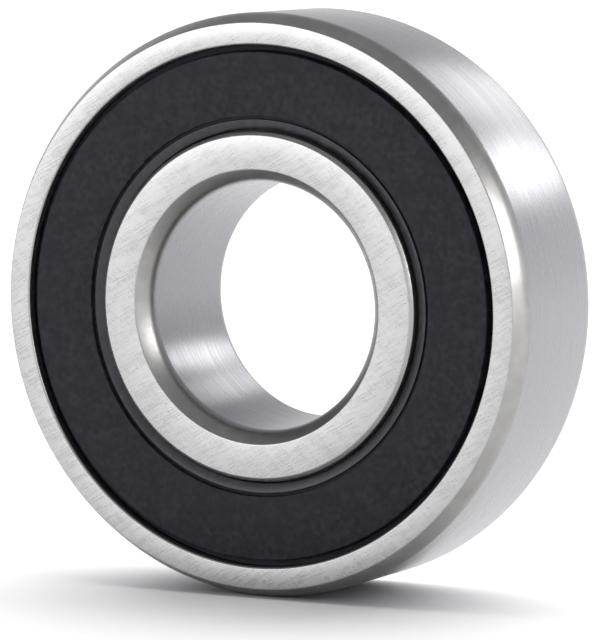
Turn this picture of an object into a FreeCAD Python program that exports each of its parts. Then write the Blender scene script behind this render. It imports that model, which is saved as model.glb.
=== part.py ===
"""Sealed deep groove ball bearing, 17 x 40 x 12 mm: two rings, eight balls, a riveted ribbon
cage and two steel-backed rubber seals.

The frame is the bearing's own: the origin is the centre of the bore, the bearing's axis is Y,
the front face looks along -Y, and +Z is up. All sizes are in millimetres.
"""

import FreeCAD
import Part
import Sketcher
import math
import os
import sys

from FreeCAD import Vector

# ---------------------------------------------------------------------------------------------
# Driving dimensions: alias, value, what it is
# ---------------------------------------------------------------------------------------------
DIMENSIONS = [
    ("outer_diameter", 40.0, "outside of the outer ring, the housing seat"),
    ("bore_diameter", 17.0, "bore of the inner ring, the shaft seat"),
    ("ring_width", 12.0, "both rings, face to face"),
    ("seat_corner_radial", 0.65, "outer ring corner, measured on the face"),
    ("seat_corner_axial", 1.15, "outer ring corner, measured along the axis"),
    ("bore_corner_radial", 0.9, "bore corner, measured on the face"),
    ("bore_corner_axial", 1.1, "bore corner, measured along the axis"),
    ("ball_diameter", 6.747, "one ball, 17/64 inch"),
    ("ball_count", 8.0, "balls, cage pockets and rivets"),
    ("race_conformity", 0.52, "raceway groove radius over ball diameter"),
    ("race_clearance", 0.01, "ball to raceway, on each side of the ball"),
    ("outer_shoulder", 1.1, "height of the outer ring's shoulder over its raceway"),
    ("inner_shoulder", 1.35, "height of the inner ring's shoulder over its raceway"),
    ("outer_face_width", 2.15, "outer ring face, seat to the seal mouth"),
    ("seal_lip_depth", 0.5, "thickness of the edge that holds the seal in"),
    ("seal_groove_depth", 0.5, "seal groove, radially below the mouth"),
    ("seal_groove_width", 1.1, "seal groove, along the axis"),
    ("mouth_chamfer", 0.1, "edge break round the outer ring's mouth"),
    ("seal_stop_ramp", 0.8, "slope from the seal's stop down to the shoulder, along the axis"),
    ("seal_stop_height", 0.75, "step that the seal is pressed against, below the mouth"),
    ("inner_face_width", 3.45, "inner ring face, bore to the rim beside the seal lip"),
    ("rim_width", 0.95, "inner ring's rim, along the axis"),
    ("rim_chamfer", 0.25, "chamfer between the inner ring's rim and face"),
    ("lip_groove_depth", 0.45, "lip groove in the inner ring, below the rim"),
    ("lip_groove_width", 0.8, "lip groove in the inner ring, along the axis"),
    ("lip_groove_flank", 0.1, "slope of the lip groove's wall beside the rim, along the axis"),
    ("land_ramp", 0.35, "slope from the lip groove up to the shoulder, along the axis"),
    ("seal_recess", 0.22, "seal face below the ring faces"),
    ("seal_thickness", 0.62, "rubber in front of the steel insert"),
    ("moat_width", 0.42, "open gap round the seal, inside the outer ring's mouth"),
    ("moat_slope", 0.08, "lean of the gap's inner wall"),
    ("moat_depth", 0.95, "bottom of the gap below the ring face"),
    ("seal_fit", 0.03, "seal bead to the walls of its groove"),
    ("lip_clearance", 0.05, "seal lip to the flank of the lip groove"),
    ("lip_running_gap", 0.1, "seal to the inner ring's rim, and lip to the bottom of its groove"),
    ("lip_band_width", 0.75, "hinged band between the seal face and its lip"),
    ("lip_band_drop", 0.15, "outside of the hinged band below the seal face"),
    ("lip_band_slope", 0.25, "inside of the hinged band below its outside"),
    ("hinge_notch_width", 0.18, "notch that lets the band bend"),
    ("hinge_notch_depth", 0.32, "notch that lets the band bend, below the seal face"),
    ("lip_thickness", 0.3, "rubber at the tip of the sealing lip, along the axis"),
    ("lip_root", 0.12, "rubber behind the steel insert at the root of the lip"),
    ("insert_thickness", 0.35, "steel insert of a seal"),
    ("insert_cover", 0.55, "rubber outside the steel insert, measured from the mouth"),
    ("insert_margin", 0.07, "steel insert to the hinge notch, radially"),
    ("insert_flange", 0.3, "flange round the outside of the steel insert, along the axis"),
    ("cage_thickness", 0.55, "sheet steel of the cage"),
    ("cage_radial_width", 3.1, "cage ribbon, inside to outside"),
    ("pocket_clearance", 0.1, "ball to cage pocket"),
    ("rivet_diameter", 1.2, "shank of a cage rivet"),
    ("rivet_head_diameter", 1.9, "dome of a cage rivet"),
    ("rivet_head_height", 0.4, "dome of a cage rivet"),
    ("rivet_fit", 0.01, "rivet shank to its hole in the cage"),
]

document = FreeCAD.newDocument("ball_bearing")
sheet = document.addObject("Spreadsheet::Sheet", "Sizes")
for row, (alias, value, meaning) in enumerate(DIMENSIONS, start=1):
    sheet.set(f"A{row}", meaning)
    sheet.set(f"B{row}", str(value))
    sheet.setAlias(f"B{row}", alias)
document.recompute()

# Lengths that several pieces share, each written once as an expression on the sheet.
SEAT = "Sizes.outer_diameter / 2"
BORE = "Sizes.bore_diameter / 2"
FACE = "Sizes.ring_width / 2"
PITCH = "(Sizes.outer_diameter + Sizes.bore_diameter) / 4"
BALL = "Sizes.ball_diameter / 2"
GROOVE = "Sizes.race_conformity * Sizes.ball_diameter"
OUTER_RACE = f"({PITCH} + {BALL} + Sizes.race_clearance)"
INNER_RACE = f"({PITCH} - {BALL} - Sizes.race_clearance)"
OUTER_LAND = f"({OUTER_RACE} - Sizes.outer_shoulder)"
INNER_LAND = f"({INNER_RACE} + Sizes.inner_shoulder)"
MOUTH = f"({SEAT} - Sizes.outer_face_width)"
SEAL_GROOVE = f"({MOUTH} + Sizes.seal_groove_depth)"
SEAL_STOP = f"({MOUTH} - Sizes.seal_stop_height)"
RIM = f"({BORE} + Sizes.inner_face_width)"
LIP_GROOVE = f"({RIM} - Sizes.lip_groove_depth)"
GROOVE_NEAR = "Sizes.seal_lip_depth"
GROOVE_FAR = "(Sizes.seal_lip_depth + Sizes.seal_groove_width)"
LIP_NEAR = "Sizes.rim_width"
LIP_FAR = "(Sizes.rim_width + Sizes.lip_groove_width)"
SEAL_BACK = f"({GROOVE_FAR} - Sizes.seal_fit)"
INSERT_FRONT = "(Sizes.seal_recess + Sizes.seal_thickness)"
INSERT_BACK = f"({INSERT_FRONT} + Sizes.insert_thickness)"
INSERT_OUTSIDE = f"({MOUTH} - Sizes.insert_cover)"
MOAT_INSIDE = f"({MOUTH} - Sizes.moat_width)"
BAND_INSIDE = f"({RIM} + Sizes.lip_running_gap)"
BAND_OUTSIDE = f"({BAND_INSIDE} + Sizes.lip_band_width)"
NOTCH_OUTSIDE = f"({BAND_OUTSIDE} + Sizes.hinge_notch_width)"
INSERT_INSIDE = f"({NOTCH_OUTSIDE} + Sizes.insert_margin)"
BAND_FRONT = "(Sizes.seal_recess + Sizes.lip_band_drop)"
LIP_FRONT = f"({LIP_NEAR} + Sizes.lip_groove_flank + Sizes.lip_clearance)"
LIP_BACK = f"({LIP_FRONT} + Sizes.lip_thickness)"
POCKET = f"({BALL} + Sizes.pocket_clearance)"
DOME = f"({POCKET} + Sizes.cage_thickness)"
CAGE_OUTSIDE = f"({PITCH} + Sizes.cage_radial_width / 2)"
CAGE_INSIDE = f"({PITCH} - Sizes.cage_radial_width / 2)"


CUT_BEYOND = "1"  # how far a cut starts outside the metal that it takes away
PIECE_TYPES = ("PartDesign::Body", "Part::Sphere")


def number(expression):
    """What an expression on the sheet comes to now."""
    return float(sheet.evalExpression(expression))


# ---------------------------------------------------------------------------------------------
# Sketching and turning
# ---------------------------------------------------------------------------------------------
def origin_plane(body, role):
    return next(item for item in body.Origin.OriginFeatures if item.Role == role)


def new_body(label):
    body = document.addObject("PartDesign::Body", label)
    body.Label = label
    return body


def new_sketch(body, name, role="XY_Plane"):
    """A sketch on the radial plane, where X is the radius and Y lies along the bearing's axis."""
    sketch = body.newObject("Sketcher::SketchObject", name)
    sketch.AttachmentSupport = (origin_plane(body, role), [""])
    sketch.MapMode = "FlatFace"
    return sketch


def pin_point(sketch, geometry, end, radius, axial):
    """Holds a point of the sketch at a radius and an axial place, both bound to the sheet."""
    for kind, expression in (("DistanceX", radius), ("DistanceY", axial)):
        held = Sketcher.Constraint(kind, -1, 1, geometry, end, number(expression))
        index = sketch.addConstraint(held)
        sketch.setExpression(f"Constraints[{index}]", expression)


def outline(sketch, corners):
    """A closed outline of straight lines through corners given as (radius, axial) expressions."""
    places = [Vector(number(radius), number(axial), 0) for radius, axial in corners]
    count = len(places)
    lines = [
        sketch.addGeometry(Part.LineSegment(places[i], places[(i + 1) % count]), False)
        for i in range(count)
    ]
    for i, line in enumerate(lines):
        sketch.addConstraint(Sketcher.Constraint("Coincident", line, 2, lines[(i + 1) % count], 1))
    for line, (radius, axial) in zip(lines, corners):
        pin_point(sketch, line, 1, radius, axial)
    return lines


def ring_circle(sketch, radius_place, radius):
    """A full circle on the radial plane, centred on the bearing's middle plane."""
    centre = Vector(number(radius_place), 0, 0)
    circle = sketch.addGeometry(Part.Circle(centre, Vector(0, 0, 1), number(radius)), False)
    sketch.addConstraint(Sketcher.Constraint("PointOnObject", circle, 3, -1))
    placed = Sketcher.Constraint("DistanceX", -1, 1, circle, 3, number(radius_place))
    sketch.setExpression(f"Constraints[{sketch.addConstraint(placed)}]", radius_place)
    sized = Sketcher.Constraint("Radius", circle, number(radius))
    sketch.setExpression(f"Constraints[{sketch.addConstraint(sized)}]", radius)
    return circle


def quarter_disc(sketch, radius_place, radius, side):
    """A quarter disc from the pitch circle towards one end: side -1 is the front, +1 the back.
    An axis line through its centre is what it is turned about to make half a ball."""
    middle, size = number(radius_place), number(radius)
    centre, rim = Vector(middle, 0, 0), Vector(middle + size, 0, 0)
    pole = Vector(middle, side * size, 0)
    start, end = (-math.pi / 2, 0.0) if side < 0 else (0.0, math.pi / 2)
    circle = Part.Circle(centre, Vector(0, 0, 1), size)
    curve = sketch.addGeometry(Part.ArcOfCircle(circle, start, end), False)
    floor = sketch.addGeometry(Part.LineSegment(centre, rim), False)
    spine = sketch.addGeometry(Part.LineSegment(pole, centre), False)
    pole_end, rim_end = (1, 2) if side < 0 else (2, 1)
    sketch.addConstraint(Sketcher.Constraint("Coincident", curve, rim_end, floor, 2))
    sketch.addConstraint(Sketcher.Constraint("Coincident", curve, pole_end, spine, 1))
    sketch.addConstraint(Sketcher.Constraint("Coincident", spine, 2, floor, 1))
    sketch.addConstraint(Sketcher.Constraint("Coincident", curve, 3, floor, 1))
    sketch.addConstraint(Sketcher.Constraint("Horizontal", floor))
    sketch.addConstraint(Sketcher.Constraint("Vertical", spine))
    pin_point(sketch, floor, 1, radius_place, "0")
    sized = Sketcher.Constraint("Radius", curve, size)
    sketch.setExpression(f"Constraints[{sketch.addConstraint(sized)}]", radius)
    turning = sketch.addGeometry(Part.LineSegment(pole, centre), True)
    sketch.addConstraint(Sketcher.Constraint("Coincident", turning, 1, spine, 1))
    sketch.addConstraint(Sketcher.Constraint("Coincident", turning, 2, spine, 2))


def turn(body, sketch, name, cut=False, about="V_Axis"):
    """Turns a sketch through a full circle, to add material or, as a groove, to cut it."""
    before = body.Shape.Volume if cut else 0.0
    kind = "PartDesign::Groove" if cut else "PartDesign::Revolution"
    feature = body.newObject(kind, name)
    feature.Profile = sketch
    feature.ReferenceAxis = (sketch, [about])
    feature.Angle = 360.0
    document.recompute()
    if cut and body.Shape.Volume >= before - 1e-6:
        sys.exit(f"{body.Label}: {name} cut nothing")
    return feature


# ---------------------------------------------------------------------------------------------
# Rings
# ---------------------------------------------------------------------------------------------
def blank(sketch, land, seat, corner_face, corner_axial):
    """A plain ring's section: a land on one side, and on the other a seat with cut corners."""
    side = f"({FACE} - {corner_axial})"
    outline(
        sketch,
        [
            (land, f"-({FACE})"),
            (corner_face, f"-({FACE})"),
            (seat, f"-{side}"),
            (seat, side),
            (corner_face, FACE),
            (land, FACE),
        ],
    )


def both_ends(corners):
    """Corners given as (radius, depth below the face), at the front and mirrored at the back."""
    front = [(radius, f"-({FACE}) + {place}") for radius, place in corners]
    back = [(radius, f"{FACE} - {place}") for radius, place in corners]
    return {"front": front, "back": back}


def cut_both_ends(body, name, corners):
    for end, places in both_ends(corners).items():
        sketch = new_sketch(body, f"{name}_{end}_section")
        outline(sketch, places)
        turn(body, sketch, f"{name}_{end}", cut=True)


def outer_ring():
    body = new_body("outer_ring")
    section = new_sketch(body, "outer_section")
    corner = f"({SEAT} - Sizes.seat_corner_radial)"
    blank(section, OUTER_LAND, SEAT, corner, "Sizes.seat_corner_axial")
    turn(body, section, "outer_blank")
    race = new_sketch(body, "outer_race_section")
    ring_circle(race, f"{OUTER_RACE} - {GROOVE}", GROOVE)
    turn(body, race, "outer_race", cut=True)
    inside, beyond = f"({OUTER_LAND} - {CUT_BEYOND})", f"(-{CUT_BEYOND})"
    seal_seat = [
        (inside, beyond),
        (f"({MOUTH} + Sizes.mouth_chamfer)", beyond),
        (f"({MOUTH} + Sizes.mouth_chamfer)", "0"),
        (MOUTH, "Sizes.mouth_chamfer"),
        (MOUTH, GROOVE_NEAR),
        (SEAL_GROOVE, GROOVE_NEAR),
        (SEAL_GROOVE, GROOVE_FAR),
        (SEAL_STOP, GROOVE_FAR),
        (OUTER_LAND, f"({GROOVE_FAR} + Sizes.seal_stop_ramp)"),
        (inside, f"({GROOVE_FAR} + Sizes.seal_stop_ramp)"),
    ]
    cut_both_ends(body, "outer_seal_seat", seal_seat)


def inner_ring():
    body = new_body("inner_ring")
    section = new_sketch(body, "inner_section")
    corner = f"({BORE} + Sizes.bore_corner_radial)"
    blank(section, INNER_LAND, BORE, corner, "Sizes.bore_corner_axial")
    turn(body, section, "inner_blank")
    race = new_sketch(body, "inner_race_section")
    ring_circle(race, f"{INNER_RACE} + {GROOVE}", GROOVE)
    turn(body, race, "inner_race", cut=True)
    outside, beyond = f"({INNER_LAND} + {CUT_BEYOND})", f"(-{CUT_BEYOND})"
    lip_seat = [
        (outside, beyond),
        (f"({RIM} - Sizes.rim_chamfer)", beyond),
        (f"({RIM} - Sizes.rim_chamfer)", "0"),
        (RIM, "Sizes.rim_chamfer"),
        (RIM, LIP_NEAR),
        (LIP_GROOVE, f"({LIP_NEAR} + Sizes.lip_groove_flank)"),
        (LIP_GROOVE, LIP_FAR),
        (INNER_LAND, f"({LIP_FAR} + Sizes.land_ramp)"),
        (outside, f"({LIP_FAR} + Sizes.land_ramp)"),
    ]
    cut_both_ends(body, "inner_lip_seat", lip_seat)


# ---------------------------------------------------------------------------------------------
# Seals
# ---------------------------------------------------------------------------------------------
def turned_piece(label, corners):
    body = new_body(label)
    sketch = new_sketch(body, f"{label}_section")
    outline(sketch, corners)
    turn(body, sketch, f"{label}_turned")


def seals():
    """At each end, a steel insert and the rubber that is moulded over its front and edges."""
    groove_wall = f"({GROOVE_NEAR} + Sizes.seal_fit)"
    bead = f"({SEAL_GROOVE} - Sizes.seal_fit)"
    notch_floor = "(Sizes.seal_recess + Sizes.hinge_notch_depth)"
    lip_tip = f"({LIP_GROOVE} + Sizes.lip_running_gap)"
    rubber = [
        (BAND_INSIDE, f"({BAND_FRONT} + Sizes.lip_band_slope)"),
        (BAND_OUTSIDE, BAND_FRONT),
        (BAND_OUTSIDE, notch_floor),
        (NOTCH_OUTSIDE, notch_floor),
        (NOTCH_OUTSIDE, "Sizes.seal_recess"),
        (f"({MOAT_INSIDE} - Sizes.moat_slope)", "Sizes.seal_recess"),
        (MOAT_INSIDE, "Sizes.moat_depth"),
        (f"({MOUTH} - Sizes.seal_fit)", "Sizes.moat_depth"),
        (f"({MOUTH} - Sizes.seal_fit)", groove_wall),
        (bead, groove_wall),
        (bead, SEAL_BACK),
        (INSERT_OUTSIDE, SEAL_BACK),
        (INSERT_OUTSIDE, INSERT_FRONT),
        (INSERT_INSIDE, INSERT_FRONT),
        (INSERT_INSIDE, f"({INSERT_BACK} + Sizes.lip_root)"),
        (lip_tip, LIP_BACK),
        (lip_tip, LIP_FRONT),
        (BAND_INSIDE, LIP_FRONT),
    ]
    flange_inside = f"({INSERT_OUTSIDE} - Sizes.insert_thickness)"
    flange_end = f"({INSERT_BACK} + Sizes.insert_flange)"
    insert = [
        (INSERT_INSIDE, INSERT_FRONT),
        (INSERT_OUTSIDE, INSERT_FRONT),
        (INSERT_OUTSIDE, flange_end),
        (flange_inside, flange_end),
        (flange_inside, INSERT_BACK),
        (INSERT_INSIDE, INSERT_BACK),
    ]
    for piece, corners in (("rubber", rubber), ("insert", insert)):
        for end, places in both_ends(corners).items():
            turned_piece(f"{end}_seal_{piece}", places)


# ---------------------------------------------------------------------------------------------
# Balls and cage
# ---------------------------------------------------------------------------------------------
def around(share):
    """The angle of a place on the pitch circle, as a share of the spacing of the balls."""
    return f"(360 / Sizes.ball_count * {share})"


def place_on_pitch(piece, share):
    """Binds a piece's placement to its place on the pitch circle, turned with that place."""
    angle = around(share)
    reach = f"vector({PITCH} * cos({angle}); 0; {PITCH} * sin({angle}))"
    piece.setExpression("Placement", f"placement({reach}; rotation(vector(0; 1; 0); -{angle}))")


def balls(count):
    for index in range(count):
        ball = document.addObject("Part::Sphere", f"ball_{index + 1}")
        ball.Label = f"ball_{index + 1}"
        ball.setExpression("Radius", BALL)
        place_on_pitch(ball, index)


def around_the_cage(body, features, name):
    pattern = body.newObject("PartDesign::PolarPattern", name)
    pattern.Originals = features
    pattern.Axis = (origin_plane(body, "Y_Axis"), [""])
    pattern.Angle = 360.0
    pattern.setExpression("Occurrences", "Sizes.ball_count")
    body.Tip = pattern
    document.recompute()


def cage_half(label, side):
    """One pressed half: a flat ribbon with a domed pocket over each ball. Side is -1 or +1."""
    body = new_body(label)
    sign = "-" if side < 0 else ""
    ribbon = new_sketch(body, f"{label}_ribbon_section")
    outer_face = f"{sign}Sizes.cage_thickness"
    outline(
        ribbon,
        [
            (CAGE_INSIDE, "0"),
            (CAGE_OUTSIDE, "0"),
            (CAGE_OUTSIDE, outer_face),
            (CAGE_INSIDE, outer_face),
        ],
    )
    turn(body, ribbon, f"{label}_ribbon")
    dome_section = new_sketch(body, f"{label}_dome_section")
    quarter_disc(dome_section, PITCH, DOME, side)
    dome = turn(body, dome_section, f"{label}_dome", about="Axis0")
    pocket_section = new_sketch(body, f"{label}_pocket_section")
    quarter_disc(pocket_section, PITCH, POCKET, side)
    pocket = turn(body, pocket_section, f"{label}_pocket", cut=True, about="Axis0")
    around_the_cage(body, [dome, pocket], f"{label}_pockets")
    for name, near, far in (
        ("inside", f"({PITCH} - {DOME} - {CUT_BEYOND})", CAGE_INSIDE),
        ("outside", CAGE_OUTSIDE, f"({PITCH} + {DOME} + {CUT_BEYOND})"),
    ):
        trim = new_sketch(body, f"{label}_{name}_section")
        reach = f"{sign}({DOME} + {CUT_BEYOND})"
        back = f"{'' if side < 0 else '-'}{CUT_BEYOND}"
        outline(trim, [(near, back), (far, back), (far, reach), (near, reach)])
        turn(body, trim, f"{label}_{name}_trim", cut=True)
    rivet_hole(body, label)


def rivet_hole(body, label):
    """A hole half-way between two pockets, repeated between all of them."""
    sketch = new_sketch(body, f"{label}_rivet_section", "XZ_Plane")
    angle = around("0.5")
    across, up = f"({PITCH} * cos({angle}))", f"({PITCH} * sin({angle}))"
    radius = "(Sizes.rivet_diameter / 2 + Sizes.rivet_fit)"
    centre = Vector(number(across), number(up), 0)
    hole = sketch.addGeometry(Part.Circle(centre, Vector(0, 0, 1), number(radius)), False)
    pin_point(sketch, hole, 3, across, up)
    sized = Sketcher.Constraint("Radius", hole, number(radius))
    sketch.setExpression(f"Constraints[{sketch.addConstraint(sized)}]", radius)
    before = body.Shape.Volume
    cut = body.newObject("PartDesign::Pocket", f"{label}_rivet_hole")
    cut.Profile = sketch
    cut.Type = "ThroughAll"
    cut.Midplane = True
    document.recompute()
    if body.Shape.Volume >= before:
        sys.exit(f"{label}: the rivet hole cut nothing")
    around_the_cage(body, [cut], f"{label}_rivet_holes")


def rivet_section(sketch):
    """Half a rivet's section: a shank between two domed heads, round the sketch's own Y axis."""
    shank, head = "(Sizes.rivet_diameter / 2)", "(Sizes.rivet_head_diameter / 2)"
    grip, height = "Sizes.cage_thickness", "Sizes.rivet_head_height"
    bottom, top = f"-({grip} + {height})", f"({grip} + {height})"
    corners = [("0", bottom), (head, f"-{grip}"), (shank, f"-{grip}")]
    corners += [(shank, grip), (head, grip), ("0", top)]
    places = [Vector(number(radius), number(axial), 0) for radius, axial in corners]
    rise, width = number(height), number(head)
    dome_radius = (width**2 + rise**2) / (2 * rise)
    lean = math.asin(width / dome_radius)
    low = Vector(0, places[0].y + dome_radius, 0)
    high = Vector(0, places[5].y - dome_radius, 0)
    up = Vector(0, 0, 1)
    quarter = math.pi / 2
    low_arc = Part.ArcOfCircle(Part.Circle(low, up, dome_radius), -quarter, -quarter + lean)
    high_arc = Part.ArcOfCircle(Part.Circle(high, up, dome_radius), quarter - lean, quarter)
    pieces = [low_arc]
    pieces += [Part.LineSegment(places[i], places[i + 1]) for i in (1, 2, 3)]
    pieces += [high_arc, Part.LineSegment(places[5], places[0])]
    curves = [sketch.addGeometry(piece, False) for piece in pieces]
    for i, curve in enumerate(curves):
        following = curves[(i + 1) % len(curves)]
        sketch.addConstraint(Sketcher.Constraint("Coincident", curve, 2, following, 1))
    for curve, (radius, axial) in zip(curves, corners):
        pin_point(sketch, curve, 1, radius, axial)
    for arc in (curves[0], curves[4]):
        sketch.addConstraint(Sketcher.Constraint("PointOnObject", arc, 3, -2))


def rivets(count):
    for index in range(count):
        body = new_body(f"cage_rivet_{index + 1}")
        sketch = new_sketch(body, f"cage_rivet_{index + 1}_section")
        rivet_section(sketch)
        turn(body, sketch, f"cage_rivet_{index + 1}_turned")
        place_on_pitch(body, index + 0.5)


# ---------------------------------------------------------------------------------------------
# Build and export
# ---------------------------------------------------------------------------------------------
def export_pieces():
    """Checks every object and every sub-part, then writes one STEP file for each sub-part."""
    document.recompute()
    for item in document.Objects:
        if {"Invalid", "Error"} & set(item.State):
            sys.exit(f"{item.Name} failed: {item.State}")
    pieces = [item for item in document.Objects if item.TypeId in PIECE_TYPES]
    for piece in pieces:
        if piece.Shape.isNull() or not piece.Shape.isValid() or not piece.Shape.Solids:
            sys.exit(f"{piece.Label} has no valid solid")
    os.makedirs("parts", exist_ok=True)
    for piece in pieces:
        piece.Shape.exportStep(os.path.join("parts", f"{piece.Label}.step"))
        print(f"{piece.Label}: {len(piece.Shape.Solids)} solid, {piece.Shape.Volume:.2f} mm3")


def main():
    count = round(number("Sizes.ball_count"))
    outer_ring()
    inner_ring()
    seals()
    balls(count)
    cage_half("cage_front_half", -1)
    cage_half("cage_back_half", 1)
    rivets(count)
    export_pieces()


main()
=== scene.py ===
"""A sealed ball bearing: ground steel rings, moulded rubber seals, polished balls and a riveted cage."""

import math

import bmesh
import bpy
from bpy.props import FloatProperty, FloatVectorProperty, IntProperty, PointerProperty
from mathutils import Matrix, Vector


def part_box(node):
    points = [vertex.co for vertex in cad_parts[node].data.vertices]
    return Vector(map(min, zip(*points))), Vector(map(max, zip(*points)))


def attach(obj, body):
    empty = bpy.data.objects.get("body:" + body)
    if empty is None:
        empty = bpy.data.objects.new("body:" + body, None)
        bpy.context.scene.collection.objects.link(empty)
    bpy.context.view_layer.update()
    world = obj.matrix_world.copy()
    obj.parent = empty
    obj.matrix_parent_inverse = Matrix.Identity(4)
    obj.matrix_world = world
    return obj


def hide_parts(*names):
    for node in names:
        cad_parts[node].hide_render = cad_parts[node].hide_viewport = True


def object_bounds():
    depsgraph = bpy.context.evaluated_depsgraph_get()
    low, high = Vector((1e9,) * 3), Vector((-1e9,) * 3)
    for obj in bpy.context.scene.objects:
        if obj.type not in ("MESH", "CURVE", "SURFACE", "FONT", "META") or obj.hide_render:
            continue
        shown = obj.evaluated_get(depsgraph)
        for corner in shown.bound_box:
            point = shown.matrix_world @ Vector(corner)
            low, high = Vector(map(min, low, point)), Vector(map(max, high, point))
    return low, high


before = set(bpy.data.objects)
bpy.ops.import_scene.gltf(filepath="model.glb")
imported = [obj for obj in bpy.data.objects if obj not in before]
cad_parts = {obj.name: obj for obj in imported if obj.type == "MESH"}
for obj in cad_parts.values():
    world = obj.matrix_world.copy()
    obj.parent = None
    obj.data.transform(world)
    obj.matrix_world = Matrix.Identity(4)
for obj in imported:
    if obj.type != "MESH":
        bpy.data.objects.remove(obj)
CAD_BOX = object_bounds()
OUTER_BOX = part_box("outer_ring")
BALLS = sorted(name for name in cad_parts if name.startswith("ball_"))
RIVETS = sorted(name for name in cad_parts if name.startswith("cage_rivet_"))
ENDS = {"front": -1, "back": 1}
MM = 0.001
WELD = 0.001 * MM
REACH = 0.002 * MM

bl_info = {
    "name": "Ball Bearing",
    "version": (1, 0, 0),
    "blender": (4, 5, 0),
    "location": "View3D > Sidebar > Bearing",
    "description": "Models and finishes a sealed deep groove ball bearing",
    "category": "Object",
}


# ---------------------------------------------------------------------------
# Sizes and colours
# ---------------------------------------------------------------------------
def length(name, description, default):
    return FloatProperty(name=name, description=description, default=default, unit="LENGTH", precision=5)


def angle(name, description, degrees):
    return FloatProperty(name=name, description=description, default=math.radians(degrees), subtype="ANGLE")


def colour(name, description, default):
    return FloatVectorProperty(
        name=name, description=description, default=default, subtype="COLOR", size=3, min=0, max=1
    )


class BearingSizes(bpy.types.PropertyGroup):
    seat_radius: length("Seat radius", "Outside of the outer ring", OUTER_BOX[1].x)
    half_width: length("Half width", "Middle of the bearing to a ring face", OUTER_BOX[1].y)
    bore_radius: length("Bore radius", "Bore of the inner ring", 8.5 * MM)
    pitch_radius: length("Pitch radius", "Axis to the middle of a ball", 14.25 * MM)
    groove_radius: length("Groove radius", "Raceway's radius across the ball", 3.50844 * MM)
    ball_radius: length("Ball radius", "Radius of a ball", 3.3735 * MM)
    race_gap: length("Race gap", "Ball to the bottom of a raceway", 0.01 * MM)
    outer_corner_face: length("Outer corner on the face", "Outer ring corner", 0.65 * MM)
    outer_corner_seat: length("Outer corner on the seat", "Outer ring corner, along the axis", 1.15 * MM)
    bore_corner_face: length("Bore corner on the face", "Inner ring corner", 0.9 * MM)
    bore_corner_seat: length("Bore corner on the bore", "Inner ring corner, along the axis", 1.1 * MM)
    outer_land: length("Outer shoulder", "Inside of the outer ring beside its raceway", 16.53 * MM)
    outer_land_end: length("Outer shoulder's end", "Depth of the foot of the seal stop's slope", 2.4 * MM)
    seal_stop: length("Seal stop", "Inside of the step that a seal is pressed against", 17.10 * MM)
    seal_groove: length("Seal groove", "Bottom of the groove that holds a seal", 18.35 * MM)
    groove_near: length("Seal groove's near wall", "Depth below the ring face", 0.5 * MM)
    groove_far: length("Seal groove's far wall", "Depth below the ring face", 1.6 * MM)
    mouth: length("Seal mouth", "Inside of the edge that holds a seal in", 17.85 * MM)
    mouth_chamfer: length("Mouth chamfer", "Edge break round the seal mouth", 0.1 * MM)
    inner_land: length("Inner shoulder", "Outside of the inner ring beside its raceway", 12.2165 * MM)
    inner_land_end: length("Inner shoulder's end", "Depth of the top of the lip groove's slope", 2.1 * MM)
    lip_groove: length("Lip groove", "Bottom of the groove that a sealing lip runs in", 11.50 * MM)
    lip_groove_near: length("Lip groove's near wall", "Depth below the ring face", 1.05 * MM)
    lip_groove_far: length("Lip groove's far wall", "Depth below the ring face", 1.75 * MM)
    rim: length("Rim", "Outside of the inner ring beside its face", 11.95 * MM)
    rim_width: length("Rim width", "Along the axis, down to the lip groove", 0.95 * MM)
    rim_chamfer: length("Rim chamfer", "Between the inner ring's rim and face", 0.25 * MM)
    edge_round: length("Edge rounding", "Rounding of the rings' ground edges", 0.07 * MM)
    corner_round: length("Corner rounding", "Rounding where a cut corner meets a seat", 0.45 * MM)
    lip_round: length("Small rounding", "Rounding inside the rings and on the rubber", 0.05 * MM)
    fine_round: length("Fine rounding", "Rounding of the mouth, the notch and the seal bead", 0.03 * MM)
    steps: IntProperty(name="Steps", description="Steps round a turned piece", default=256, min=32)


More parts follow.
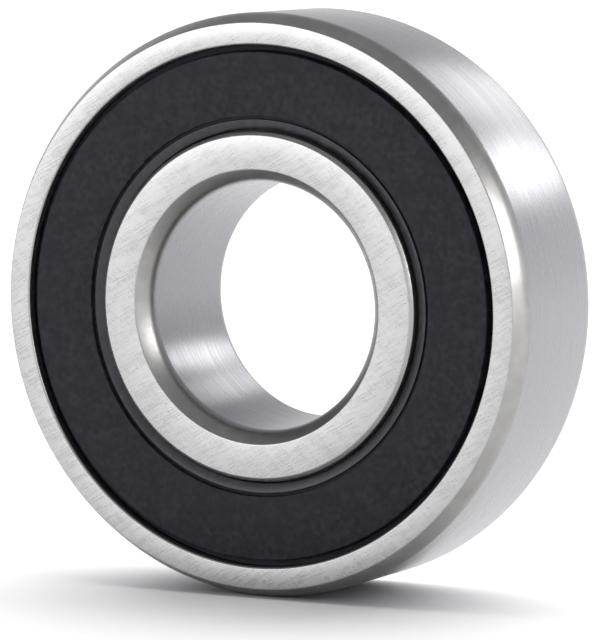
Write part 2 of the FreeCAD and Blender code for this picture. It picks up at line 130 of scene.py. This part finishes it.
class SealSizes(bpy.types.PropertyGroup):
    """Sizes of a seal's rubber: radii from the axis, and depths below the ring face."""

    recess: length("Recess", "Depth of the seal face", 0.22 * MM)
    wall: length("Gap's inner wall", "Radius at the bottom of the open gap round the seal", 17.43 * MM)
    wall_slope: length("Wall's slope", "How much smaller the radius of that wall is at the top", 0.08 * MM)
    gap_floor: length("Gap's floor", "Depth of the open gap round the seal", 0.95 * MM)
    neck: length("Neck", "Radius of the rubber inside the ring's mouth", 17.82 * MM)
    bead: length("Bead", "Radius of the bead that the ring's groove holds", 18.32 * MM)
    bead_near: length("Bead's near side", "Depth", 0.53 * MM)
    bead_far: length("Bead's far side", "Depth", 1.57 * MM)
    insert_outside: length("Insert's outside", "Outer radius of the recess for the insert", 17.30 * MM)
    insert_inside: length("Insert's inside", "Inner radius of the recess for the insert", 13.05 * MM)
    insert_front: length("Insert's front", "Depth", 0.84 * MM)
    notch_outside: length("Notch's outside", "Radius of the notch that lets the band bend", 12.99 * MM)
    notch_floor: length("Notch's floor", "Depth", 0.60 * MM)
    band_outside: length("Band's outside", "Outer radius of the hinged band", 12.77 * MM)
    band_inside: length("Band's inside", "Inner radius of the hinged band", 12.09 * MM)
    band_high: length("Band's high side", "Depth beside the notch", 0.37 * MM)
    band_low: length("Band's low side", "Depth beside the inner ring", 0.62 * MM)
    lip_tip: length("Lip's tip", "Radius of the sealing lip's edge", 11.60 * MM)
    lip_near: length("Lip's near side", "Depth", 1.10 * MM)
    lip_far: length("Lip's far side", "Depth at the tip", 1.40 * MM)
    lip_root: length("Lip's root", "Depth of the lip's far side beside the insert", 1.31 * MM)
    notch_round: length("Notch rounding", "Rounding of the band's low side and the notch's top", 0.06 * MM)
    band_round: length("Band rounding", "Rounding of the band's high side", 0.08 * MM)
    face_round: length("Face rounding", "Rounding of the seal face's outer edge", 0.07 * MM)
    bead_round: length("Bead rounding", "Rounding of the bead's far edge", 0.10 * MM)


class BearingFinish(bpy.types.PropertyGroup):
    steel: colour("Ground steel", "Ground ring faces", (0.445, 0.443, 0.443))
    # The housing seat and shaft seat tints are darker than the ground faces, partly as painted shade; the
    # bore, inside the ring, is darkest.
    seat: colour("Housing seat", "Ground outside of the outer ring", (0.325, 0.323, 0.337))
    bore: colour("Shaft seat", "Ground bore of the inner ring", (0.255, 0.253, 0.269))
    corner: colour("Turned corner", "Corners and grooves left as turned", (0.31, 0.306, 0.299))
    ball: colour("Polished steel", "Balls", (0.80, 0.80, 0.81))
    cage: colour("Pressed steel", "Cage and rivets", (0.50, 0.50, 0.50))
    insert: colour("Coated steel", "Steel insert of a seal", (0.40, 0.41, 0.40))
    rubber: colour("Rubber", "Moulded seal rubber", (0.0105, 0.0107, 0.0135))


class StudioLook(bpy.types.PropertyGroup):
    azimuth: angle("Azimuth", "Camera's turn round the bearing", 27.8)
    elevation: angle("Elevation", "Camera's height above the horizon", 5.3)
    distance: length("Distance", "Camera to the middle of the bearing", 0.34)
    lens: FloatProperty(name="Lens", description="Focal length in millimetres", default=277.0, min=10)
    aim_right: length("Aim to the right", "Camera's aim beside the middle of the bearing", 0.28 * MM)
    aim_below: length("Aim below", "Camera's aim below the middle of the bearing", 1.38 * MM)
    floor: colour("Floor", "Pale floor", (0.92, 0.92, 0.92))


# ---------------------------------------------------------------------------
# Modelling
# ---------------------------------------------------------------------------
def deselect_all():
    if bpy.context.object and bpy.context.object.mode != "OBJECT":
        bpy.ops.object.mode_set(mode="OBJECT")
    bpy.ops.object.select_all(action="DESELECT")


def select_vertices_at(obj, places):
    """In edit mode, selects only the vertices within REACH of the given places."""
    mesh = bmesh.from_edit_mesh(obj.data)
    for vertex in mesh.verts:
        vertex.select = any((vertex.co - place).length < REACH for place in places)
    mesh.select_flush(True)
    bmesh.update_edit_mesh(obj.data)


def draw_section(name, corners):
    """Draws a closed section, corner by corner: each is (radius, along, rounding)."""
    deselect_all()
    bpy.ops.mesh.primitive_plane_add(size=MM)
    piece = bpy.context.object
    piece.name = piece.data.name = name
    places = [Vector((radius, along, 0)) for radius, along, _ in corners]
    bpy.ops.object.mode_set(mode="EDIT")
    bpy.ops.mesh.select_mode(type="VERT")
    bpy.ops.mesh.select_all(action="SELECT")
    bpy.ops.mesh.merge(type="CENTER")
    bpy.ops.transform.translate(value=places[0])
    for start, end in zip(places, places[1:] + places[:1]):
        bpy.ops.mesh.extrude_region_move(TRANSFORM_OT_translate={"value": end - start})
    bpy.ops.mesh.select_all(action="SELECT")
    bpy.ops.mesh.remove_doubles(threshold=WELD)
    for rounding in sorted({corner[2] for corner in corners} - {0}):
        select_vertices_at(piece, [p for p, corner in zip(places, corners) if corner[2] == rounding])
        bpy.ops.mesh.bevel(offset=rounding, segments=4, affect="VERTICES", clamp_overlap=True)
    return piece


def turn(piece, steps):
    """Spins the drawn section about the bearing's axis and closes it."""
    bpy.ops.mesh.select_all(action="SELECT")
    bpy.ops.mesh.spin(steps=steps, angle=math.tau, use_auto_merge=True, center=(0, 0, 0), axis=(0, 1, 0))
    bpy.ops.mesh.select_all(action="SELECT")
    bpy.ops.mesh.remove_doubles(threshold=WELD)
    bpy.ops.mesh.normals_make_consistent(inside=False)
    bpy.ops.object.mode_set(mode="OBJECT")
    bpy.ops.object.shade_smooth_by_angle(angle=math.radians(30))
    return piece


def both_ends(corners):
    """A half-section drawn from the middle towards the back, and the same mirrored to the front."""
    front = [(radius, -along, rounding) for radius, along, rounding in reversed(corners)]
    return corners + front


def raceway(middle, groove, land):
    """Corners of half a raceway's arc, from its bottom at the middle out to the land."""
    reach = abs(land - middle)
    end = math.acos(reach / groove)
    side = math.copysign(1, land - middle)
    count = 14
    turns = [end * (i + 0.5) / count for i in range(count)] + [end]
    return [(middle + side * groove * math.cos(a), groove * math.sin(a), 0) for a in turns]


def give(piece, material, slot, body, *nodes):
    """Gives a finished piece its material and its body, and hides the nodes that it stands for. slot is not
    used.
    """
    piece.data.materials.clear()
    piece.data.materials.append(material)
    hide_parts(*nodes)
    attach(piece, body)


def coat(node, material):
    """Gives a carried-over node its material."""
    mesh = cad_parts[node].data
    mesh.materials.clear()
    mesh.materials.append(material)


# ---------------------------------------------------------------------------
# Shader groups
# ---------------------------------------------------------------------------
class Graph:
    """Adds and links nodes in one tree."""

    def __init__(self, tree):
        self.tree = tree

    def node(self, kind, inputs=None, **settings):
        made = self.tree.nodes.new(kind)
        for name, value in settings.items():
            setattr(made, name, value)
        for name, value in (inputs or {}).items():
            if isinstance(value, bpy.types.NodeSocket):
                self.tree.links.new(value, made.inputs[name])
            else:
                made.inputs[name].default_value = value
        return made

    def maths(self, operation, *values):
        made = self.node("ShaderNodeMath", operation=operation)
        for i, value in enumerate(values):
            if isinstance(value, bpy.types.NodeSocket):
                self.tree.links.new(value, made.inputs[i])
            else:
                made.inputs[i].default_value = value
        return made.outputs[0]

    def ramp(self, value, low, high, to_low=0.0, to_high=1.0):
        inputs = {"Value": value, "From Min": low, "From Max": high, "To Min": to_low, "To Max": to_high}
        return self.node("ShaderNodeMapRange", inputs, interpolation_type="SMOOTHSTEP").outputs["Result"]

    def blend(self, factor, first, second):
        made = self.node("ShaderNodeMix", data_type="RGBA")
        for index, value in ((0, factor), (6, first), (7, second)):
            if isinstance(value, bpy.types.NodeSocket):
                self.tree.links.new(value, made.inputs[index])
            elif index == 0:
                made.inputs[index].default_value = value
            else:
                made.inputs[index].default_value = (*value, 1)
        return made.outputs[2]

    def group(self, tree, **inputs):
        return self.node("ShaderNodeGroup", inputs, node_tree=tree)


def new_group(name, inputs, outputs):
    """An empty shader group with its sockets, given as (name, kind, default)."""
    tree = bpy.data.node_groups.new(name, "ShaderNodeTree")
    for label, kind, default in inputs:
        socket = tree.interface.new_socket(label, in_out="INPUT", socket_type=kind)
        if default is not None:
            socket.default_value = default
    for label, kind in outputs:
        tree.interface.new_socket(label, in_out="OUTPUT", socket_type=kind)
    source = tree.nodes.new("NodeGroupInput")
    sink = tree.nodes.new("NodeGroupOutput")
    return tree, source, sink


def scratch_lines():
    """Fine grinding lines: noise drawn out along one direction, with coarser streaks over it."""
    name = "Scratch Lines"
    if name in bpy.data.node_groups:
        return bpy.data.node_groups[name]
    sockets = [
        ("Vector", "NodeSocketVector", None),
        ("Turn", "NodeSocketFloat", 0.0),
        ("Lines", "NodeSocketFloat", 9000.0),
        ("Run", "NodeSocketFloat", 120.0),
    ]
    tree, source, sink = new_group(name, sockets, [("Value", "NodeSocketFloat")])
    graph = Graph(tree)
    turned = graph.node(
        "ShaderNodeVectorRotate",
        {"Vector": source.outputs["Vector"], "Angle": source.outputs["Turn"]},
        rotation_type="Y_AXIS",
    )
    parts = []
    for share in (1.0, 0.22):
        fine = graph.maths("MULTIPLY", source.outputs["Lines"], share)
        run = graph.maths("MULTIPLY", source.outputs["Run"], share)
        scale = graph.node("ShaderNodeCombineXYZ", {"X": run, "Y": fine, "Z": fine})
        drawn = graph.node("ShaderNodeVectorMath", operation="MULTIPLY")
        tree.links.new(turned.outputs[0], drawn.inputs[0])
        tree.links.new(scale.outputs[0], drawn.inputs[1])
        noise = graph.node("ShaderNodeTexNoise", {"Vector": drawn.outputs[0], "Scale": 1.0, "Detail": 2.0})
        parts.append(noise.outputs["Fac"])
    half = graph.maths("MULTIPLY", parts[0], 0.6)
    whole = graph.maths("MULTIPLY_ADD", parts[1], 0.4, half)
    tree.links.new(whole, sink.inputs["Value"])
    return tree


def mottle():
    """Soft patches with a fine grain in them, as on pickled sheet, turned steel or moulded rubber."""
    name = "Mottle"
    if name in bpy.data.node_groups:
        return bpy.data.node_groups[name]
    sockets = [
        ("Vector", "NodeSocketVector", None),
        ("Patch", "NodeSocketFloat", 500.0),
        ("Grain", "NodeSocketFloat", 9000.0),
    ]
    outputs = [("Patches", "NodeSocketFloat"), ("Grain", "NodeSocketFloat")]
    tree, source, sink = new_group(name, sockets, outputs)
    graph = Graph(tree)
    for label, socket, detail in (("Patches", "Patch", 4.0), ("Grain", "Grain", 3.0)):
        inputs = {"Vector": source.outputs["Vector"], "Scale": source.outputs[socket], "Detail": detail}
        noise = graph.node("ShaderNodeTexNoise", inputs)
        tree.links.new(noise.outputs["Fac"], sink.inputs[label])
    return tree


# ---------------------------------------------------------------------------
# Materials
# ---------------------------------------------------------------------------
def new_material(name):
    material = bpy.data.materials.new(name)
    material.use_nodes = True
    graph = Graph(material.node_tree)
    shader = material.node_tree.nodes["Principled BSDF"]
    place = graph.node("ShaderNodeTexCoord").outputs["Object"]
    return material, graph, shader, place


def shade(tint, share):
    return [value * share for value in tint]


def from_axis(graph, split):
    """Distance from the bearing's axis, out of a place's separate coordinates."""
    squares = [graph.maths("MULTIPLY", split.outputs[axis], split.outputs[axis]) for axis in "XZ"]
    return graph.maths("SQRT", graph.maths("ADD", *squares))


def relief(graph, shader, height, distance, strength):
    bump = graph.node("ShaderNodeBump", {"Height": height, "Distance": distance, "Strength": strength})
    graph.tree.links.new(bump.outputs["Normal"], shader.inputs["Normal"])


def ring_steel(name, sizes, finish, seat, seat_tint_and_shade):
    """Ground bearing steel. The faces are ground straight across and the seat round and round; the corners
    and everything inside are darker, as turned and hardened. seat is the radius of the ground cylinder and
    seat_tint_and_shade its colour, set darker than the faces' partly as painted shade. The ground look fades
    out between near and far from the ground surface."""
    material, graph, shader, place = new_material(name)
    links = graph.tree.links
    split = graph.node("ShaderNodeSeparateXYZ", {"Vector": place})
    along = graph.maths("ABSOLUTE", split.outputs["Y"])
    near, far = 0.01 * MM, 0.05 * MM
    face = graph.ramp(along, sizes.half_width - far, sizes.half_width - near)
    away = graph.maths("ABSOLUTE", graph.maths("SUBTRACT", from_axis(graph, split), seat))
    cylinder = graph.ramp(away, near, far, 1.0, 0.0)
    ground = graph.maths("MAXIMUM", face, cylinder)

    lines = scratch_lines()
    first = graph.group(lines, Vector=place, Turn=0.5, Lines=8000.0, Run=800.0).outputs[0]
    second = graph.group(lines, Vector=place, Turn=-0.75, Lines=8000.0, Run=1000.0).outputs[0]
    crossed = graph.maths("MULTIPLY_ADD", second, 0.35, graph.maths("MULTIPLY", first, 0.65))
    stretch = graph.node("ShaderNodeVectorMath", operation="MULTIPLY")
    links.new(place, stretch.inputs[0])
    round_and_round, across = 90.0, 12000.0
    stretch.inputs[1].default_value = (round_and_round, across, round_and_round)
    hoops = graph.node("ShaderNodeTexNoise", {"Vector": stretch.outputs[0], "Scale": 1.0, "Detail": 3.0})
    rough_turn = graph.group(mottle(), Vector=place, Patch=700.0, Grain=7000.0)
    picked = graph.node("ShaderNodeMix", {0: face, 2: hoops.outputs["Fac"], 3: crossed}, data_type="FLOAT")
    marks = picked.outputs[0]

    # The faces get the ground-steel tint and the seat its own darker tint, which is partly painted shade.
    tint = graph.blend(face, seat_tint_and_shade, finish.steel)
    dulled = graph.blend(face, shade(seat_tint_and_shade, 0.97), shade(finish.steel, 0.80))
    bright = graph.blend(graph.ramp(marks, 0.35, 0.6), dulled, tint)
    patches = graph.ramp(rough_turn.outputs["Patches"], 0.35, 0.7)
    patchy = graph.blend(patches, finish.corner, shade(finish.corner, 1.14))
    links.new(graph.blend(ground, patchy, bright), shader.inputs["Base Color"])
    rough_bright = graph.ramp(marks, 0.3, 0.7, 0.24, 0.32)
    rough_dark = graph.ramp(rough_turn.outputs["Grain"], 0.3, 0.7, 0.30, 0.42)
    mixed = graph.node("ShaderNodeMix", {0: ground, 2: rough_dark, 3: rough_bright}, data_type="FLOAT")
    links.new(mixed.outputs[0], shader.inputs["Roughness"])
    shader.inputs["Metallic"].default_value = 1.0
    relief(graph, shader, marks, distance=0.002 * MM, strength=0.25)
    return material


def seal_rubber(finish, band_outside):
    """Matte moulded rubber with a fine grain and a little bloom. Inside the radius band_outside,
    on the lip band, it is glossier."""
    material, graph, shader, place = new_material("seal_rubber")
    grain = graph.group(mottle(), Vector=place, Patch=900.0, Grain=2300.0)
    darker, paler = shade(finish.rubber, 0.15), shade(finish.rubber, 2.6)
    speck = graph.ramp(grain.outputs["Grain"], 0.30, 0.70)
    cloud = graph.ramp(grain.outputs["Patches"], 0.3, 0.7, 0.55, 1.0)
    share = graph.maths("MULTIPLY", speck, cloud)
    graph.tree.links.new(graph.blend(share, darker, paler), shader.inputs["Base Color"])
    rough = graph.ramp(grain.outputs["Grain"], 0.3, 0.7, 0.50, 0.66)
    graph.tree.links.new(rough, shader.inputs["Roughness"])
    shader.inputs["Specular IOR Level"].default_value = 0.28
    shader.inputs["Specular Tint"].default_value = (0.88, 0.89, 1.0, 1)
    radius = from_axis(graph, graph.node("ShaderNodeSeparateXYZ", {"Vector": place}))
    band = graph.ramp(radius, band_outside - 0.01 * MM, band_outside + 0.02 * MM, 0.7, 0.0)
    graph.tree.links.new(band, shader.inputs["Coat Weight"])
    shader.inputs["Coat Roughness"].default_value = 0.28
    relief(graph, shader, grain.outputs["Grain"], distance=0.03 * MM, strength=0.7)
    return material


def ball_steel(finish):
    """Lapped and polished steel with the faintest haze."""
    material, graph, shader, place = new_material("ball_steel")
    haze = graph.group(mottle(), Vector=place, Patch=700.0, Grain=16000.0)
    tint = graph.blend(haze.outputs["Patches"], shade(finish.ball, 0.95), finish.ball)
    graph.tree.links.new(tint, shader.inputs["Base Color"])
    graph.tree.links.new(graph.ramp(haze.outputs["Grain"], 0.3, 0.7, 0.05, 0.09), shader.inputs["Roughness"])
    shader.inputs["Metallic"].default_value = 1.0
    return material


def sheet_steel(name, tint, smoothest, roughest, patch):
    """Pressed strip: drawn lines across a mottled surface."""
    material, graph, shader, place = new_material(name)
    spots = graph.group(mottle(), Vector=place, Patch=patch, Grain=8000.0)
    drawn = graph.group(scratch_lines(), Vector=place, Turn=0.2, Lines=5000.0, Run=400.0).outputs[0]
    mottled = graph.blend(graph.ramp(spots.outputs["Patches"], 0.3, 0.7), shade(tint, 0.78), tint)
    graph.tree.links.new(mottled, shader.inputs["Base Color"])
    graph.tree.links.new(graph.ramp(drawn, 0.3, 0.7, smoothest, roughest), shader.inputs["Roughness"])
    shader.inputs["Metallic"].default_value = 1.0
    relief(graph, shader, spots.outputs["Grain"], distance=0.004 * MM, strength=0.3)
    return material


# ---------------------------------------------------------------------------
# Operators
# ---------------------------------------------------------------------------
class BEARING_OT_outer_ring(bpy.types.Operator):
    """Turns the outer ring: seat, cut corners, raceway and seal grooves"""

    bl_idname = "bearing.outer_ring"
    bl_label = "Outer Ring"

    def execute(self, context):
        sizes = context.scene.bearing_sizes
        half, seat, soft = sizes.half_width, sizes.seat_radius, sizes.lip_round
        middle = sizes.pitch_radius + sizes.ball_radius + sizes.race_gap - sizes.groove_radius
        near, far = half - sizes.groove_near, half - sizes.groove_far
        mouth, chamfer, fine = sizes.mouth, sizes.mouth_chamfer, sizes.fine_round
        corners = raceway(middle, sizes.groove_radius, sizes.outer_land) + [
            (sizes.outer_land, half - sizes.outer_land_end, soft),
            (sizes.seal_stop, far, soft),
            (sizes.seal_groove, far, soft),
            (sizes.seal_groove, near, soft),
            (mouth, near, soft),
            (mouth, half - chamfer, fine),
            (mouth + chamfer, half, fine),
            (seat - sizes.outer_corner_face, half, sizes.edge_round),
            (seat, half - sizes.outer_corner_seat, sizes.corner_round),
        ]
        piece = turn(draw_section("outer_ring_steel", both_ends(corners)), sizes.steps)
        finish = context.scene.bearing_finish
        # The housing seat's darker tint is partly painted shade.
        material = ring_steel("outer_ring_steel", sizes, finish, seat, finish.seat)
        give(piece, material, "ring_steel", "outer", "outer_ring")
        return {"FINISHED"}


class BEARING_OT_inner_ring(bpy.types.Operator):
    """Turns the inner ring: bore, cut corners, raceway and lip grooves"""

    bl_idname = "bearing.inner_ring"
    bl_label = "Inner Ring"

    def execute(self, context):
        sizes = context.scene.bearing_sizes
        half, bore, soft = sizes.half_width, sizes.bore_radius, sizes.lip_round
        middle = sizes.pitch_radius - sizes.ball_radius - sizes.race_gap + sizes.groove_radius
        groove, rim, chamfer = sizes.lip_groove, sizes.rim, sizes.rim_chamfer
        corners = raceway(middle, sizes.groove_radius, sizes.inner_land) + [
            (sizes.inner_land, half - sizes.inner_land_end, soft),
            (groove, half - sizes.lip_groove_far, soft),
            (groove, half - sizes.lip_groove_near, soft),
            (rim, half - sizes.rim_width, soft),
            (rim, half - chamfer, soft),
            (rim - chamfer, half, soft),
            (bore + sizes.bore_corner_face, half, sizes.edge_round),
            (bore, half - sizes.bore_corner_seat, sizes.corner_round),
        ]
        piece = turn(draw_section("inner_ring_steel", both_ends(corners)), sizes.steps)
        finish = context.scene.bearing_finish
        # The shaft seat's darker tint is partly painted shade inside the ring.
        material = ring_steel("inner_ring_steel", sizes, finish, bore, finish.bore)
        give(piece, material, "ring_steel", "inner", "inner_ring")
        return {"FINISHED"}


class BEARING_OT_seals(bpy.types.Operator):
    """Moulds the rubber of both seals over their steel inserts"""

    bl_idname = "bearing.seals"
    bl_label = "Seals"

    def execute(self, context):
        sizes, seal = context.scene.bearing_sizes, context.scene.seal_sizes
        finish = context.scene.bearing_finish
        rubber = seal_rubber(finish, seal.band_outside)
        for end, side in ENDS.items():
            corners = [
                (radius, side * (sizes.half_width - depth), rounding)
                for radius, depth, rounding in self.section(sizes, seal)
            ]
            piece = turn(draw_section(f"{end}_seal_moulding", corners), sizes.steps)
            give(piece, rubber, "seal_rubber", "outer", f"{end}_seal_rubber")
        insert = sheet_steel("insert_steel", finish.insert, smoothest=0.30, roughest=0.42, patch=650.0)
        for end in ENDS:
            coat(f"{end}_seal_insert", insert)
        return {"FINISHED"}

    @staticmethod
    def section(sizes, seal):
        """Corners of the rubber's section as (radius, depth, rounding), from the band outwards,
        round the bead, along the insert and back by the lip."""
        soft, fine = sizes.lip_round, sizes.fine_round
        return [
            (seal.band_inside, seal.band_low, seal.notch_round),
            (seal.band_outside, seal.band_high, seal.band_round),
            (seal.band_outside, seal.notch_floor, fine),
            (seal.notch_outside, seal.notch_floor, fine),
            (seal.notch_outside, seal.recess, seal.notch_round),
            (seal.wall - seal.wall_slope, seal.recess, seal.face_round),
            (seal.wall, seal.gap_floor, soft),
            (seal.neck, seal.gap_floor, fine),
            (seal.neck, seal.bead_near, fine),
            (seal.bead, seal.bead_near, soft),
            (seal.bead, seal.bead_far, seal.bead_round),
            (seal.insert_outside, seal.bead_far, soft),
            (seal.insert_outside, seal.insert_front, 0),
            (seal.insert_inside, seal.insert_front, 0),
            (seal.insert_inside, seal.lip_root, soft),
            (seal.lip_tip, seal.lip_far, soft),
            (seal.lip_tip, seal.lip_near, soft),
            (seal.band_inside, seal.lip_near, soft),
        ]


class BEARING_OT_balls_and_cage(bpy.types.Operator):
    """Finishes the balls, the pressed cage and its rivets"""

    bl_idname = "bearing.balls_and_cage"
    bl_label = "Balls and Cage"

    def execute(self, context):
        finish = context.scene.bearing_finish
        polished = ball_steel(finish)
        pressed = sheet_steel("cage_steel", finish.cage, smoothest=0.26, roughest=0.38, patch=480.0)
        for name in BALLS:
            coat(name, polished)
        for name in ("cage_front_half", "cage_back_half", *RIVETS):
            coat(name, pressed)
        return {"FINISHED"}


class BEARING_OT_studio(bpy.types.Operator):
    """Sets the floor, the lights and the camera"""

    bl_idname = "bearing.studio"
    bl_label = "Studio"

    def execute(self, context):
        look = context.scene.bearing_studio
        self.floor(look)
        self.sky(context)
        self.softbox("softbox_left", place=(-0.27, -0.47, 0.11), size=(0.30, 0.20), power=0.44)
        self.softbox("softbox_right", place=(0.50, -0.04, 0.17), size=(0.24, 0.18), power=1.25)
        self.softbox("strip_back_high", place=(0.03, 0.50, 0.25), size=(0.15, 0.12), power=0.12)
        self.softbox("strip_back_low", place=(0.19, 0.50, 0.20), size=(0.14, 0.10), power=0.2)
        self.overhead(look)
        self.camera(context, look)
        return {"FINISHED"}

    def floor(self, look):
        deselect_all()
        bpy.ops.mesh.primitive_plane_add(size=6.0, location=(0, 0, CAD_BOX[0].z))
        floor = bpy.context.object
        floor.name = "studio_floor"
        material, graph, shader, place = new_material("studio_floor")
        faint = graph.group(mottle(), Vector=place, Patch=20.0, Grain=300.0).outputs["Patches"]
        tint = graph.blend(faint, shade(look.floor, 0.99), look.floor)
        graph.tree.links.new(tint, shader.inputs["Base Color"])
        shader.inputs["Roughness"].default_value = 0.8
        shader.inputs["Specular IOR Level"].default_value = 0.1
        floor.data.materials.append(material)

    def sky(self, context):
        """A white room with a dimmer ceiling, so that polished corners have something dark to show."""
        world = bpy.data.worlds.new("studio")
        context.scene.world = world
        world.use_nodes = True
        graph = Graph(world.node_tree)
        place = graph.node("ShaderNodeTexCoord").outputs["Generated"]
        height = graph.node("ShaderNodeSeparateXYZ", {"Vector": place}).outputs["Z"]
        share = graph.node("ShaderNodeMapRange", {"Value": height, "From Min": -1.0, "From Max": 1.0})
        ramp = graph.node("ShaderNodeValToRGB", {"Fac": share.outputs["Result"]})
        ends = ramp.color_ramp.elements
        ends[0].position, ends[0].color = 0.30, (1.0, 1.0, 1.0, 1)
        ends[1].position, ends[1].color = 1.00, (0.40, 0.40, 0.41, 1)
        for position, level in ((0.50, 1.0), (0.56, 0.95), (0.65, 0.68), (0.73, 0.58), (0.85, 0.28)):
            made = ends.new(position)
            made.color = (level, level, level * 1.02, 1)
        path = graph.node("ShaderNodeLightPath").outputs
        shown = graph.blend(path["Is Camera Ray"], ramp.outputs["Color"], (1.0, 1.0, 1.0))
        shown = graph.blend(path["Is Diffuse Ray"], shown, (0.28, 0.28, 0.29))
        background = world.node_tree.nodes["Background"]
        world.node_tree.links.new(shown, background.inputs["Color"])
        background.inputs["Strength"].default_value = 1.2

    def softbox(self, name, place, size, power):
        """A panel that only the polished and glossy surfaces show, so it drops no shadow."""
        deselect_all()
        bpy.ops.object.light_add(type="AREA", location=place)
        light = bpy.context.object
        light.name = light.data.name = name
        light.data.shape = "RECTANGLE"
        light.data.size, light.data.size_y = size
        light.data.energy = power
        light.visible_diffuse = False
        light.rotation_euler = (-Vector(place)).to_track_quat("-Z", "Y").to_euler()

    def overhead(self, look):
        """A wide, even light from above and behind. It whitens the floor out to its edge and drops
        a soft shadow in front; polished steel doesn't mirror it."""
        deselect_all()
        forward, aside = math.radians(-31), math.radians(10)
        bpy.ops.object.light_add(type="SUN", location=(0, 0, 1), rotation=(forward, aside, look.azimuth))
        light = bpy.context.object
        light.name = light.data.name = "overhead"
        light.data.energy = 4.3
        light.data.angle = math.radians(95)
        light.visible_glossy = False

    def camera(self, context, look):
        turned, raised = look.azimuth, look.elevation
        right = Vector((math.cos(turned), math.sin(turned), 0))
        level = Vector((math.sin(turned), -math.cos(turned), 0))
        back = level * math.cos(raised) + Vector((0, 0, math.sin(raised)))
        up = back.cross(right)
        place = back * look.distance
        aim = right * look.aim_right - up * look.aim_below
        deselect_all()
        bpy.ops.object.camera_add(location=place)
        camera = bpy.context.object
        camera.name = "studio_camera"
        camera.rotation_euler = (aim - place).to_track_quat("-Z", "Y").to_euler()
        camera.data.lens = look.lens
        camera.data.clip_start = 0.01
        context.scene.camera = camera
        context.scene.view_settings.view_transform = "Standard"


# ---------------------------------------------------------------------------
# Panel and registration
# ---------------------------------------------------------------------------
GROUPS = {
    "bearing_sizes": BearingSizes,
    "seal_sizes": SealSizes,
    "bearing_finish": BearingFinish,
    "bearing_studio": StudioLook,
}
STEPS = (
    BEARING_OT_outer_ring,
    BEARING_OT_inner_ring,
    BEARING_OT_seals,
    BEARING_OT_balls_and_cage,
    BEARING_OT_studio,
)


class BEARING_PT_panel(bpy.types.Panel):
    """Lists the sizes and colours, and the pieces in the order they are made"""

    bl_idname = "BEARING_PT_panel"
    bl_label = "Ball Bearing"
    bl_space_type = "VIEW_3D"
    bl_region_type = "UI"
    bl_category = "Bearing"

    def draw(self, context):
        for name in GROUPS:
            group = getattr(context.scene, name)
            box = self.layout.box()
            for field in group.__annotations__:
                box.prop(group, field)
        for step in STEPS:
            self.layout.operator(step.bl_idname)


CLASSES = (*GROUPS.values(), *STEPS, BEARING_PT_panel)


def register():
    for made in CLASSES:
        bpy.utils.register_class(made)
    for name, group in GROUPS.items():
        setattr(bpy.types.Scene, name, PointerProperty(type=group))


def unregister():
    for name in GROUPS:
        delattr(bpy.types.Scene, name)
    for made in reversed(CLASSES):
        bpy.utils.unregister_class(made)


def main():
    register()
    bpy.ops.bearing.outer_ring()
    bpy.ops.bearing.inner_ring()
    bpy.ops.bearing.seals()
    bpy.ops.bearing.balls_and_cage()
    bpy.ops.bearing.studio()
    deselect_all()


if __name__ == "__main__":
    main()
